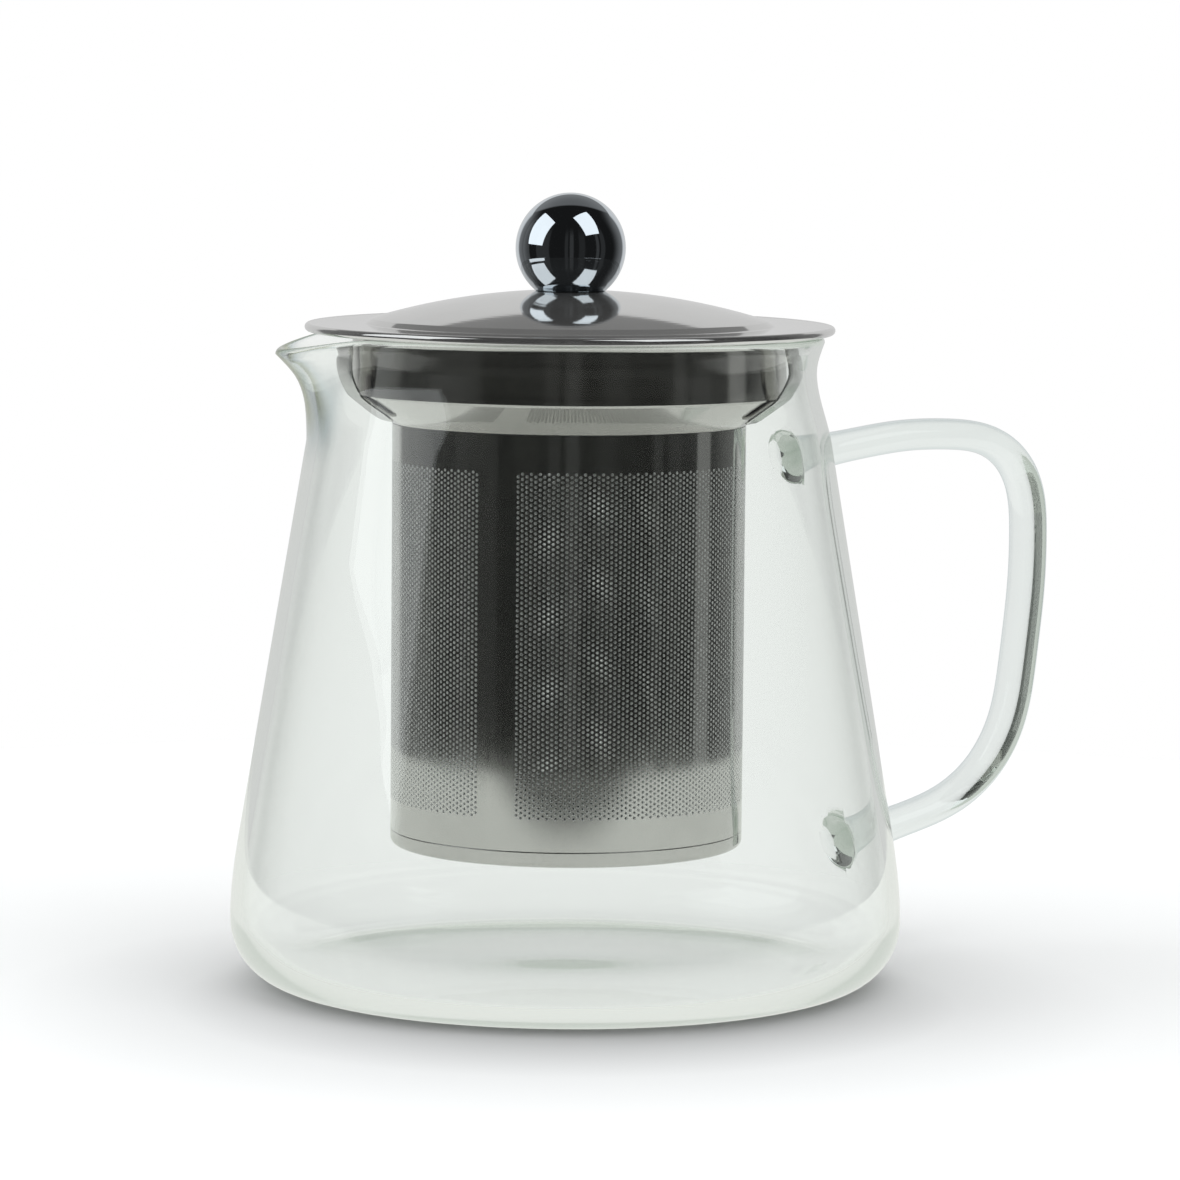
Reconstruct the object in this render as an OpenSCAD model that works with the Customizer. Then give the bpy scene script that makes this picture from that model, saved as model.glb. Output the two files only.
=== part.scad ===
// Glass teapot with a stainless infuser basket and a domed lid with a ball knob.
// Z is up, z = 0 is the underside of the glass, and the spout points along -X.

/* [Glass body] */
// Radius of the flat underside
base_radius = 46.5; // [44:0.5:48]
// Widest outer radius
belly_radius = 56.5; // [54:0.5:60]
// Height of the widest point
belly_height = 10.5; // [8:0.5:12]
// Height at which the straight cone starts
cone_bottom = 24; // [20:1:28]
// Outer radius where the straight cone starts
cone_bottom_radius = 55.2; // [53:0.1:57]
// Height at which the straight cone ends
cone_top = 91; // [88:1:94]
// Outer radius where the straight cone ends
cone_top_radius = 43.94; // [42:0.02:46]
// Outer radius of the waist under the rim
waist_radius = 41.3; // [40:0.1:43]
// Height of the waist
waist_height = 103; // [101:0.5:105]
// Outer radius of the rim
rim_radius = 42.9; // [42:0.1:44.5]
// Height of the rim
rim_height = 109; // [107:0.5:111]
// Thickness of the blown wall
wall = 2; // [1.6:0.1:2.6]
// Thickness of the floor at its edge
floor_thickness = 2.7; // [2:0.1:3.5]
// Thickness of the floor at its centre
floor_centre = 3.4; // [2.5:0.1:4.5]

/* [Spout] */
// How far the pulled lip stands out at its tip
spout_reach = 7.2; // [5:0.1:9]
// How far the lip drops at its tip
spout_drop = 2.6; // [1:0.1:4]
// Half of the angle over which the lip spreads
spout_half_angle = 33; // [24:1:40]

/* [Handle] */
// Angle of the handle from +X towards +Y
handle_angle = 20; // [0:1:30]
// Thickness of the strap in the plane of the loop
handle_thickness = 5.4; // [4.5:0.1:7]
// Width of the strap across the loop
handle_width = 8.4; // [7:0.1:10]
// Height at which the upper root meets the wall
handle_upper_root = 87.1; // [84:0.1:90]
// Height at which the lower root meets the wall
handle_lower_root = 20; // [18:0.1:26]
// Reach of the loop's centre line
handle_reach = 91.6; // [86:0.2:96]
// Extra size of the strap at its fused roots
root_flare = 1.5; // [0:0.1:3]

/* [Infuser] */
// Outer radius of the perforated tube
tube_radius = 29.6; // [28:0.1:31]
// Thickness of the tube sheet
tube_wall = 0.4; // [0.3:0.05:0.6]
// Height of the infuser underside
infuser_bottom = 23.2; // [20:0.1:30]
// Height of the seam between the base cup and the tube
seam_height = 25.8; // [25:0.1:30]
// Height of the tube's upper edge
tube_top = 93.9; // [92:0.1:95]
// Thickness of the collar sheet
collar_sheet = 0.6; // [0.4:0.1:0.8]
// Outer radius of the collar band
band_radius = 36.3; // [35:0.1:37]
// Height of the band's lower edge
band_bottom = 99; // [97:0.1:101]
// Outer radius of the collar flange
flange_radius = 42.6; // [41:0.1:43]
// Gap left between pieces that only rest on each other
rest_gap = 0.15; // [0.1:0.05:0.3]

/* [Spring clips] */
// Width of each clip
clip_width = 8; // [6:0.5:9]
// Thickness of each clip
clip_sheet = 0.4; // [0.3:0.05:0.6]
// Direction of the left clip
clip_left_angle = 192; // [180:1:200]
// Direction of the right clip
clip_right_angle = 332; // [325:1:340]
// Direction of the back clip
clip_back_angle = 82; // [75:1:100]

/* [Lid and knob] */
// Outer radius of the lid
lid_radius = 44.3; // [44:0.1:46]
// Thickness of the lid sheet
lid_sheet = 0.6; // [0.5:0.1:0.8]
// Radius of the rolled edge's section
lid_bead = 0.7; // [0.5:0.05:0.9]
// Height of the top of the dome
dome_top = 116.3; // [114:0.1:119]
// Radius of the sphere the dome is cut from
dome_sphere = 113.6; // [90:0.2:200]
// Radius at which the dome turns down to the flange
dome_radius = 32.6; // [30:0.1:33.5]
// Outer radius of the locating skirt under the lid
skirt_radius = 35.3; // [34:0.1:35.5]
// Height of the skirt's lower edge
skirt_bottom = 103; // [98:0.5:106]
// Radius of the ball
ball_radius = 9.2; // [8:0.1:10]
// Height of the centre of the ball
ball_height = 123.3; // [121:0.1:126]
// Thickness of the ball's shell
ball_wall = 0.7; // [0.5:0.1:1]
// Radius of the knob screw
screw_radius = 2; // [1.5:0.1:2.5]

/* [Hidden] */
$fn = 72;

glass_colour = [0.80, 0.88, 0.86, 0.35];
steel_colour = [0.72, 0.73, 0.74];
polished_colour = [0.85, 0.86, 0.87];

glass_facets = 96;
cone_slope = (cone_top_radius - cone_bottom_radius) / (cone_top - cone_bottom);
flange_bottom = rim_height + rest_gap;
flange_top = flange_bottom + collar_sheet;
lid_under = flange_top + 0.2;
lid_flange_top = lid_under + lid_sheet;
bead_height = lid_flange_top - lid_bead + 0.1;
clip_pivot_radius = band_radius;

// Cubic curve through two values with the slope given at each, over a span.
function hermite(a, b, slope_a, slope_b, span, t) =
    (2*t*t*t - 3*t*t + 1) * a + (t*t*t - 2*t*t + t) * slope_a * span
    + (3*t*t - 2*t*t*t) * b + (t*t*t - t*t) * slope_b * span;

// Outer radius of the neck at height z, without the spout.
function neck_outer(z) = z < waist_height
    ? hermite(cone_top_radius, waist_radius, cone_slope, 0, waist_height - cone_top,
              (z - cone_top) / (waist_height - cone_top))
    : hermite(waist_radius, rim_radius, 0, 0.3, rim_height - waist_height,
              (z - waist_height) / (rim_height - waist_height));

// Share of the spout at an angle, from 1 at its centre to 0 at its edge.
function angle_from_spout(a) = abs(((a % 360) + 360) % 360 - 180);
function spout_share(a) = angle_from_spout(a) >= spout_half_angle ? 0
    : pow(cos(90 * angle_from_spout(a) / spout_half_angle), 2);

// Point of the neck at height share u and angle a, moved inwards by inset.
function neck_height_at(u, a) =
    cone_top + u * (rim_height - cone_top - spout_drop * spout_share(a));
function neck_point(u, a, inset, lift) =
    let (r = neck_outer(cone_top + u * (rim_height - cone_top))
             + spout_reach * spout_share(a) * pow(u, 1.25) - inset,
         z = neck_height_at(u, a) + lift)
    [r * cos(a), r * sin(a), z];

neck_steps = 8;
neck_lip = 4;
// The neck is this much thinner than the cone on each side, so that its ends lie on the cone's rim.
neck_inset = 0.03;
neck_wall = wall - 0.06;
lip_half = (neck_wall - neck_inset) / 2;
lip_u = (rim_height - lip_half - cone_top) / (rim_height - cone_top);
// Each row is [height share, inset, lift]: up the outside, over the lip, down the inside.
neck_rows = concat(
    [for (i = [0:neck_steps]) [lip_u * i / neck_steps, neck_inset, 0]],
    [for (i = [1:neck_lip - 1]) let (q = 180 * i / neck_lip)
        [lip_u, neck_inset + lip_half * (1 - cos(q)), lip_half * sin(q)]],
    [for (i = [0:neck_steps]) [lip_u * (1 - i / neck_steps), neck_wall, 0]]);

// Faces of a closed ring of rows, each row being a loop of n points.
function ring_faces(rows, n) = [for (i = [0:rows - 1], j = [0:n - 1])
    let (i2 = (i + 1) % rows, j2 = (j + 1) % n)
    each [[i * n + j, i2 * n + j2, i * n + j2], [i * n + j, i2 * n + j, i2 * n + j2]]];

module glass_neck() {
    points = [for (row = neck_rows, j = [0:glass_facets - 1])
        neck_point(row[0], 360 * j / glass_facets, row[1], row[2])];
    polyhedron(points = points, faces = ring_faces(len(neck_rows), glass_facets), convexity = 6);
}

// Half section of the belly, cone and floor below the neck.
belly_outer = concat(
    [for (i = [0:6]) [base_radius + (belly_radius - base_radius) * sin(15 * i),
                      belly_height * (1 - cos(15 * i))]],
    [for (i = [1:4]) [hermite(belly_radius, cone_bottom_radius, 0, cone_slope,
                              cone_bottom - belly_height, i / 4),
                      belly_height + (cone_bottom - belly_height) * i / 4]]);
inner_belly = belly_radius - wall;
inner_base = base_radius - 0.5;
belly_inner = concat(
    [for (i = [0:4]) [hermite(cone_bottom_radius - wall, inner_belly, -cone_slope, 0,
                              cone_bottom - belly_height - 1, i / 4),
                      cone_bottom - (cone_bottom - belly_height - 1) * i / 4]],
    [for (i = [1:6]) [inner_base + (inner_belly - inner_base) * cos(15 * i),
                      floor_thickness
                      + (belly_height + 1 - floor_thickness) * (1 - sin(15 * i))]],
    [[20, floor_thickness + 0.3], [0, floor_centre]]);

module glass_body() {
    color(glass_colour) union() {
        rotate_extrude($fn = glass_facets) polygon(concat(
            [[0, 0]], belly_outer,
            [[cone_top_radius, cone_top], [cone_top_radius - wall, cone_top]], belly_inner));
        glass_neck();
    }
}

// Centre line of the handle in its own plane, as straight runs joined by arcs.
root_inset = 1.2;
function wall_radius(z) = cone_bottom_radius + cone_slope * (z - cone_bottom);
handle_corners = [
    [wall_radius(handle_upper_root) - root_inset, handle_upper_root],
    [handle_reach - 25.6, handle_upper_root + 3.4],
    [handle_reach, handle_upper_root + 2.5],
    [handle_reach, 64],
    [handle_reach - 4.5, handle_lower_root + 8.1],
    [wall_radius(handle_lower_root) - root_inset, handle_lower_root - 0.1]];
handle_bends = [0, 40, 17, 60, 23.5, 0];

function unit(v) = v / norm(v);
function turn_between(a, b) = atan2(a[0] * b[1] - a[1] * b[0], a[0] * b[0] + a[1] * b[1]);
// Points of the arc that rounds corner i.
function corner_arc(i, steps) =
    let (p = handle_corners[i],
         din = unit(p - handle_corners[i - 1]),
         dout = unit(handle_corners[i + 1] - p),
         turn = turn_between(din, dout),
         r = handle_bends[i],
         back = r * tan(abs(turn) / 2),
         start = p - din * back,
         side = turn > 0 ? 1 : -1,
         centre = start + side * r * [-din[1], din[0]])
    [for (k = [0:steps])
        let (q = turn * k / steps, v = start - centre)
        [centre + [v[0] * cos(q) - v[1] * sin(q), v[0] * sin(q) + v[1] * cos(q)],
         [din[0] * cos(q) - din[1] * sin(q), din[0] * sin(q) + din[1] * cos(q)]]];
function straight_run(a, b, steps) =
    [for (k = [0:steps]) [a + (b - a) * k / steps, unit(b - a)]];

top_arc = corner_arc(1, 2);
upper_arc = corner_arc(2, 10);
middle_arc = corner_arc(3, 3);
lower_arc = corner_arc(4, 11);
handle_path = concat(
    straight_run(handle_corners[0], top_arc[0][0] - 0.5 * top_arc[0][1], 5),
    top_arc, upper_arc, middle_arc, lower_arc,
    straight_run(lower_arc[11][0] + 0.5 * lower_arc[11][1], handle_corners[5], 4));

// Extra size near the roots, fading out over 7 mm from the wall.
function flare(p) = let (d = p[0] - wall_radius(p[1]) + root_inset)
    root_flare * pow(max(0, 1 - d / 7), 2);

section_points = 20;
module handle_strap() {
    points = [for (s = handle_path, j = [0:section_points - 1])
        let (q = 360 * j / section_points,
             n = [-s[1][1], s[1][0]],
             a = (handle_thickness + flare(s[0])) / 2 * cos(q),
             b = (handle_width + flare(s[0])) / 2 * sin(q))
        [s[0][0] + a * n[0], b, s[0][1] + a * n[1]]];
    last = (len(handle_path) - 1) * section_points;
    sides = [for (i = [0:len(handle_path) - 2], j = [0:section_points - 1])
        let (j2 = (j + 1) % section_points, p = i * section_points, r = p + section_points)
        each [[p + j, r + j2, p + j2], [p + j, r + j, r + j2]]];
    caps = [[for (j = [0:section_points - 1]) j],
            [for (j = [section_points - 1:-1:0]) last + j]];
    polyhedron(points = points, faces = concat(sides, caps), convexity = 6);
}

module glass_handle() {
    color(glass_colour) rotate([0, 0, handle_angle]) handle_strap();
}

// One pressed collar: flange, band, cone and the spigot that enters the tube.
spigot_radius = tube_radius - tube_wall - 0.03;
spigot_bottom = tube_top - 3;
module infuser_collar() {
    inner_band = band_radius - collar_sheet;
    inner_spigot = spigot_radius - collar_sheet;
    color(steel_colour) rotate_extrude($fn = 90) polygon([
        [inner_spigot, spigot_bottom],
        [spigot_radius, spigot_bottom],
        [spigot_radius, tube_top + 0.05],
        [tube_radius, tube_top + 0.05],
        [band_radius, band_bottom],
        [band_radius, flange_bottom - 0.5],
        [band_radius + 0.5, flange_bottom],
        [flange_radius - 0.2, flange_bottom],
        [flange_radius, flange_bottom + collar_sheet / 2],
        [flange_radius - 0.2, flange_top],
        [band_radius, flange_top],
        [inner_band, flange_top - 0.6],
        [inner_band, band_bottom + 0.25],
        [inner_spigot, tube_top + 0.3]]);
}

// Rolled tube. Its field of fine holes is left plain here.
module infuser_tube() {
    color(steel_colour) translate([0, 0, seam_height + 0.05])
    difference() {
        cylinder(h = tube_top - seam_height - 0.05, r = tube_radius, $fn = 90);
        translate([0, 0, -1])
        cylinder(h = tube_top - seam_height + 2, r = tube_radius - tube_wall, $fn = 90);
    }
}

// Shallow cup that closes the tube, with a step that enters it.
module infuser_base() {
    corner = 2;
    outer = tube_radius;
    step = tube_radius - tube_wall - 0.03;
    inner = step - tube_wall;
    color(steel_colour) rotate_extrude($fn = 90) polygon(concat(
        [[0, infuser_bottom], [outer - corner, infuser_bottom]],
        [for (i = [1:4]) [outer - corner + corner * sin(22.5 * i),
                          infuser_bottom + corner * (1 - cos(22.5 * i))]],
        [[outer, seam_height], [step, seam_height], [step, seam_height + 2.4],
         [inner, seam_height + 2.4], [inner, infuser_bottom + corner]],
        [for (i = [1:3]) [inner - 1.5 + 1.5 * cos(30 * i),
                          infuser_bottom + corner - 1.5 * sin(30 * i)]],
        [[0, infuser_bottom + 0.5]]));
}

// Middle line of a clip, from its foot on the cone to its free end.
clip_line = [[31.75, 94.91], [36.35, 98.42], [37.45, 99.9], [38.25, 101.6],
             [38.72, 103.3], [38.8, 105], [38.55, 106.4], [37.95, 107.5]];
function line_direction(i) = unit(clip_line[min(i + 1, len(clip_line) - 1)]
                                  - clip_line[max(i - 1, 0)]);
function clip_side(i, s) = clip_line[i]
    + s * clip_sheet / 2 * [line_direction(i)[1], -line_direction(i)[0]];

module spring_clip(a) {
    last = len(clip_line) - 1;
    corner = 2.5;
    color(polished_colour) rotate([0, 0, a]) intersection() {
        rotate([90, 0, 0])
        linear_extrude(height = clip_width, center = true)
        polygon(concat([for (i = [0:last]) clip_side(i, 1)],
                       [for (i = [last:-1:0]) clip_side(i, -1)]));
        translate([20, 0, 0]) rotate([90, 0, 90]) linear_extrude(height = 30)
        union() {
            translate([-clip_width / 2, 90]) square([clip_width, 15.3]);
            translate([-clip_width / 2 + corner, 100]) square([clip_width - 2 * corner, 10]);
            translate([-clip_width / 2 + corner, 105.3]) circle(r = corner, $fn = 32);
            translate([clip_width / 2 - corner, 105.3]) circle(r = corner, $fn = 32);
        }
    }
}
module clip_left() { spring_clip(clip_left_angle); }
module clip_right() { spring_clip(clip_right_angle); }
module clip_back() { spring_clip(clip_back_angle); }

// Height of the dome's upper face at a radius.
function dome_at(r) = dome_top - dome_sphere + sqrt(dome_sphere * dome_sphere - r * r);
dome_steps = 6;
screw_hole = screw_radius + 0.15;

module lid_shell() {
    top = concat(
        [for (i = [0:dome_steps]) let (r = screw_hole + (dome_radius - screw_hole) * i / dome_steps)
            [r, dome_at(r)]],
        [[dome_radius + 0.9, dome_at(dome_radius) - 0.5],
         [dome_radius + 1.4, lid_flange_top],
         [dome_radius + 2, lid_flange_top - 0.15],
         [dome_radius + 4, lid_flange_top]]);
    under = [for (i = [len(top) - 1:-1:0]) top[i]
        - [i > dome_steps && i < dome_steps + 3 ? 0.45 : 0, lid_sheet]];
    bead_centre = lid_radius - lid_bead;
    color(steel_colour) union() {
        rotate_extrude($fn = 90) polygon(concat(
            top, [[bead_centre, lid_flange_top], [bead_centre, lid_under]], under));
        rotate_extrude($fn = 90) translate([bead_centre, bead_height])
        circle(r = lid_bead, $fn = 16);
    }
}

// Ring under the lid that centres it in the collar. Its inturned top lies just under the lid's groove.
skirt_sheet = 0.5;
groove_under = lid_flange_top - 0.15 - lid_sheet;
module lid_skirt() {
    top = groove_under - 0.02;
    inner = skirt_radius - skirt_sheet;
    color(steel_colour) rotate_extrude($fn = 90) polygon([
        [inner, skirt_bottom],
        [skirt_radius - 0.2, skirt_bottom],
        [skirt_radius, skirt_bottom + 0.6],
        [skirt_radius, top + 0.04],
        [skirt_radius - 0.7, top],
        [skirt_radius - 1.6, top + 0.1],
        [skirt_radius - 1.6, top - 0.35],
        [skirt_radius - 0.8, top - 0.5],
        [inner, top - 0.8]]);
}

// The ball is cut flat where it sits on the dome.
seat_height = dome_at(sqrt(pow(ball_radius, 2) - pow(ball_height - dome_top, 2))) + 0.04;
insert_bottom = dome_top + 0.05;
insert_top = 122;

module knob_ball() {
    color(polished_colour) translate([0, 0, ball_height]) difference() {
        sphere(r = ball_radius, $fn = 56);
        sphere(r = ball_radius - ball_wall, $fn = 32);
        translate([0, 0, seat_height - ball_height - 10])
        cylinder(h = 10, r = ball_radius, $fn = 48);
    }
}

// Threaded boss that closes the ball. The thread is drawn as a plain bore.
module knob_insert() {
    mouth = sqrt(pow(ball_radius - ball_wall, 2) - pow(ball_height - insert_bottom, 2)) - 0.05;
    color(steel_colour) difference() {
        union() {
            translate([0, 0, insert_bottom]) cylinder(h = 1.2, r = mouth, $fn = 48);
            translate([0, 0, insert_bottom]) cylinder(h = insert_top - insert_bottom, r = 3.4, $fn = 48);
        }
        translate([0, 0, insert_bottom - 1])
        cylinder(h = insert_top - insert_bottom, r = screw_radius + 0.02, $fn = 32);
    }
}

washer_radius = 5.5;
washer_sheet = 0.8;
washer_top = dome_at(washer_radius) - lid_sheet - 0.02;

module knob_washer() {
    color(steel_colour) difference() {
        translate([0, 0, washer_top - washer_sheet])
        cylinder(h = washer_sheet, r = washer_radius, $fn = 48);
        translate([0, 0, washer_top - washer_sheet - 1])
        cylinder(h = washer_sheet + 2, r = screw_hole, $fn = 32);
    }
}

// Pan-head screw with a cross recess, run up through the washer and the lid.
module knob_screw() {
    head_height = 1.9;
    head_top = washer_top - washer_sheet - 0.02;
    color(steel_colour) difference() {
        union() {
            translate([0, 0, head_top - head_height])
            cylinder(h = head_height, r1 = 3.2, r2 = 3.8, $fn = 48);
            translate([0, 0, head_top - 0.5])
            cylinder(h = insert_top - 1.5 - head_top, r = screw_radius, $fn = 32);
        }
        for (q = [0, 90]) rotate([0, 0, q])
        translate([-2, -0.45, head_top - head_height - 1]) cube([4, 0.9, 2.1]);
    }
}

glass_body();
glass_handle();
infuser_collar();
infuser_tube();
infuser_base();
clip_left();
clip_right();
clip_back();
lid_shell();
lid_skirt();
knob_ball();
knob_insert();
knob_screw();
knob_washer();
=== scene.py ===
# Glass teapot with a perforated steel infuser and a domed lid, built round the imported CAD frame.
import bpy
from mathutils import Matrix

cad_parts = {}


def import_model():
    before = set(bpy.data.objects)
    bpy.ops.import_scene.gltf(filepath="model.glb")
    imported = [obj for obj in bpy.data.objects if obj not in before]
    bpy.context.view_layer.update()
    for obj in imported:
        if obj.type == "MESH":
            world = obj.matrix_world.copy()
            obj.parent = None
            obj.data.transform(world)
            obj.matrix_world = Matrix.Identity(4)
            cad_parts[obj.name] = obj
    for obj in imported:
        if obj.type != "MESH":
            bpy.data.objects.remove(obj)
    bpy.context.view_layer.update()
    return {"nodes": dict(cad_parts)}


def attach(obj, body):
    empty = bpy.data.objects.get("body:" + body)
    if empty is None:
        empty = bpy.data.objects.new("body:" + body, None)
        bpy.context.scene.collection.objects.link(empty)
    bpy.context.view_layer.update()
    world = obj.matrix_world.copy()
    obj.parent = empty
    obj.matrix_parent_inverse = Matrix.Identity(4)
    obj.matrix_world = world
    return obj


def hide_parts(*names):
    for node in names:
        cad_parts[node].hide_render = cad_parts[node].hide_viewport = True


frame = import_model()

import math
from contextlib import contextmanager

import bmesh
import bpy
import numpy as np
from mathutils import Matrix, Vector

# Profiles and points are in millimetres in the row's frame; materials, lights and the camera are
# in metres.
MM = 0.001
TAU = 2 * math.pi
CAMERA_AZ = math.radians(-8.0)


# ---------------------------------------------------------------- dimensions

BASE_R, BELLY_R, BELLY_Z = 46.5, 56.5, 10.5
CONE_Z0, CONE_R0, CONE_Z1, CONE_R1 = 24.0, 55.2, 91.0, 43.94
SLOPE = (CONE_R1 - CONE_R0) / (CONE_Z1 - CONE_Z0)
WAIST_R, WAIST_Z, RIM_R, RIM_Z = 41.3, 103.0, 42.9, 109.0
WALL, FLOOR_Z = 2.0, 2.7
SPOUT_REACH, SPOUT_DROP, SPOUT_HALF = 7.2, 2.6, 33.0
HANDLE_ANGLE = math.radians(20)
HANDLE_REACH, HANDLE_UPPER, HANDLE_LOWER, HANDLE_INSET = 91.6, 87.1, 20.0, 1.2
STRAP_WIDE, STRAP_THICK = 8.4, 5.4

TUBE_OUT, TUBE_IN, TUBE_TOP = 29.6, 29.2, 93.9
CUP_Z, CUP_SHEET, SEAM_Z = 23.2, 0.4, 25.85
PITCH = 0.84
STEP_X, STEP_Z = PITCH / (2 * math.sqrt(3)), PITCH / 2
HOLE_OUT, HOLE_IN = 0.2751, 0.14175     # corner radii of a six-sided hole, outside and inside
COLUMNS, LAST_ROW, FIRST_ROW_Z = 256, 67, 31.35
STRIP_AT, STRIP_COLUMNS = math.radians(-121.0), 9
FLOOR_FIELD = 24.0

CLIP_PATH = [(31.75, 94.91), (36.35, 98.42), (37.45, 99.9), (38.25, 101.6),
             (38.72, 103.3), (38.8, 105.0), (38.55, 106.4), (37.95, 107.5)]
CLIP_HALF_WIDE, CLIP_HALF_THICK, CLIP_TIP, CLIP_FOOT = 4.0, 0.2, 2.6, 1.0

DOME_TOP, DOME_R, FLANGE_TOP = 116.3, 113.6, 110.55
LID_R, LID_SHEET, BEAD, SCREW_HOLE = 44.3, 0.6, 0.7, 2.15
BALL_R, BALL_Z, BALL_WALL = 9.2, 123.3, 0.7


# ---------------------------------------------------------------- meshes

@contextmanager
def editing(mesh):
    """A bmesh of the mesh, which is written back at the end."""
    bm = bmesh.new()
    bm.from_mesh(mesh)
    yield bm
    bm.to_mesh(mesh)
    bm.free()


def new_mesh(name, verts, faces):
    mesh = bpy.data.meshes.new(name)
    mesh.from_pydata([tuple(v) for v in np.asarray(verts, dtype=float) * MM], [], faces)
    return mesh


def new_object(name, data):
    ob = bpy.data.objects.new(name, data)
    bpy.context.collection.objects.link(ob)
    return ob


def shade_smooth(mesh):
    mesh.polygons.foreach_set("use_smooth", [True] * len(mesh.polygons))


def make_object(name, verts, faces, body, slot, replaces, mat):
    """A piece of the model, from points in millimetres."""
    mesh = new_mesh(name, verts, faces)
    mesh.validate()
    ob = new_object(name, mesh)
    shade_smooth(mesh)
    mesh.materials.append(mat)
    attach(ob, body)
    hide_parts(*replaces)
    return ob


def mark_sharp(mesh, degrees):
    """Creases every edge that turns more than this many degrees."""
    limit = math.radians(degrees)
    with editing(mesh) as bm:
        for e in bm.edges:
            if len(e.link_faces) == 2 and e.calc_face_angle(0) > limit:
                e.smooth = False


def fix_normals(mesh):
    with editing(mesh) as bm:
        bmesh.ops.recalc_face_normals(bm, faces=bm.faces)


def fillet(points, radii, steps=6, closed=False):
    """Rounds the corners of a polyline of (x, z) points, with one radius per point."""
    n = len(points)
    out = []
    for i, p in enumerate(points):
        p = np.array(p, float)
        if radii[i] <= 0 or (not closed and i in (0, n - 1)):
            out.append(p)
            continue
        u = np.array(points[i - 1], float) - p
        v = np.array(points[(i + 1) % n], float) - p
        lu, lv = np.linalg.norm(u), np.linalg.norm(v)
        u, v = u / lu, v / lv
        angle = math.acos(max(-1, min(1, float(u @ v))))
        if angle > math.radians(178):
            out.append(p)
            continue
        back = min(radii[i] / math.tan(angle / 2), 0.49 * lu, 0.49 * lv)
        r = back * math.tan(angle / 2)
        middle = (u + v) / np.linalg.norm(u + v)
        centre = p + middle * (r / math.sin(angle / 2))
        s, e = p + u * back - centre, p + v * back - centre
        a0, a1 = math.atan2(s[1], s[0]), math.atan2(e[1], e[0])
        turn = (a1 - a0 + math.pi) % TAU - math.pi
        for k in range(steps + 1):
            q = a0 + turn * k / steps
            out.append(centre + r * np.array([math.cos(q), math.sin(q)]))
    return out


def skin(rows, closed=False):
    """Verts and faces of a skin round Z. A row has one (r, z) for each step round the axis, and a
    row on the axis becomes one vertex."""
    segs = len(rows[0])
    verts, rings = [], []
    for row in rows:
        if row[0][0] < 1e-6:
            rings.append([len(verts)])
            verts.append((0, 0, row[0][1]))
            continue
        rings.append(range(len(verts), len(verts) + segs))
        for j, (r, z) in enumerate(row):
            a = TAU * j / segs
            verts.append((r * math.cos(a), r * math.sin(a), z))
    faces = []
    count = len(rings)
    for i in range(count if closed else count - 1):
        a, b = rings[i], rings[(i + 1) % count]
        if len(a) == 1 and len(b) == 1:
            continue
        for j in range(segs):
            k = (j + 1) % segs
            if len(a) == 1:
                faces.append((a[0], b[k], b[j]))
            elif len(b) == 1:
                faces.append((a[j], a[k], b[0]))
            else:
                faces.append((a[j], a[k], b[k], b[j]))
    return verts, faces


def revolve(profile, segs, closed=True):
    return skin([[tuple(point)] * segs for point in profile], closed)


def hold_flats(profile, margin=0.05):
    """Adds a point just inside both ends of every long straight part, so that it shades as flat."""
    out = []
    for p, q in zip(profile, profile[1:] + profile[:1]):
        a, b = np.array(p, float), np.array(q, float)
        out.append(tuple(a))
        length = np.linalg.norm(b - a)
        if length > 0.5:
            out.append(tuple(a + (b - a) * margin / length))
            out.append(tuple(b - (b - a) * margin / length))
    return out


def turned(name, profile, segs, body, slot, replaces, mat, sharp=40):
    verts, faces = revolve(hold_flats(profile), segs)
    ob = make_object(name, verts, faces, body, slot, replaces, mat)
    fix_normals(ob.data)
    mark_sharp(ob.data, sharp)


# ---------------------------------------------------------------- materials

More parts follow.
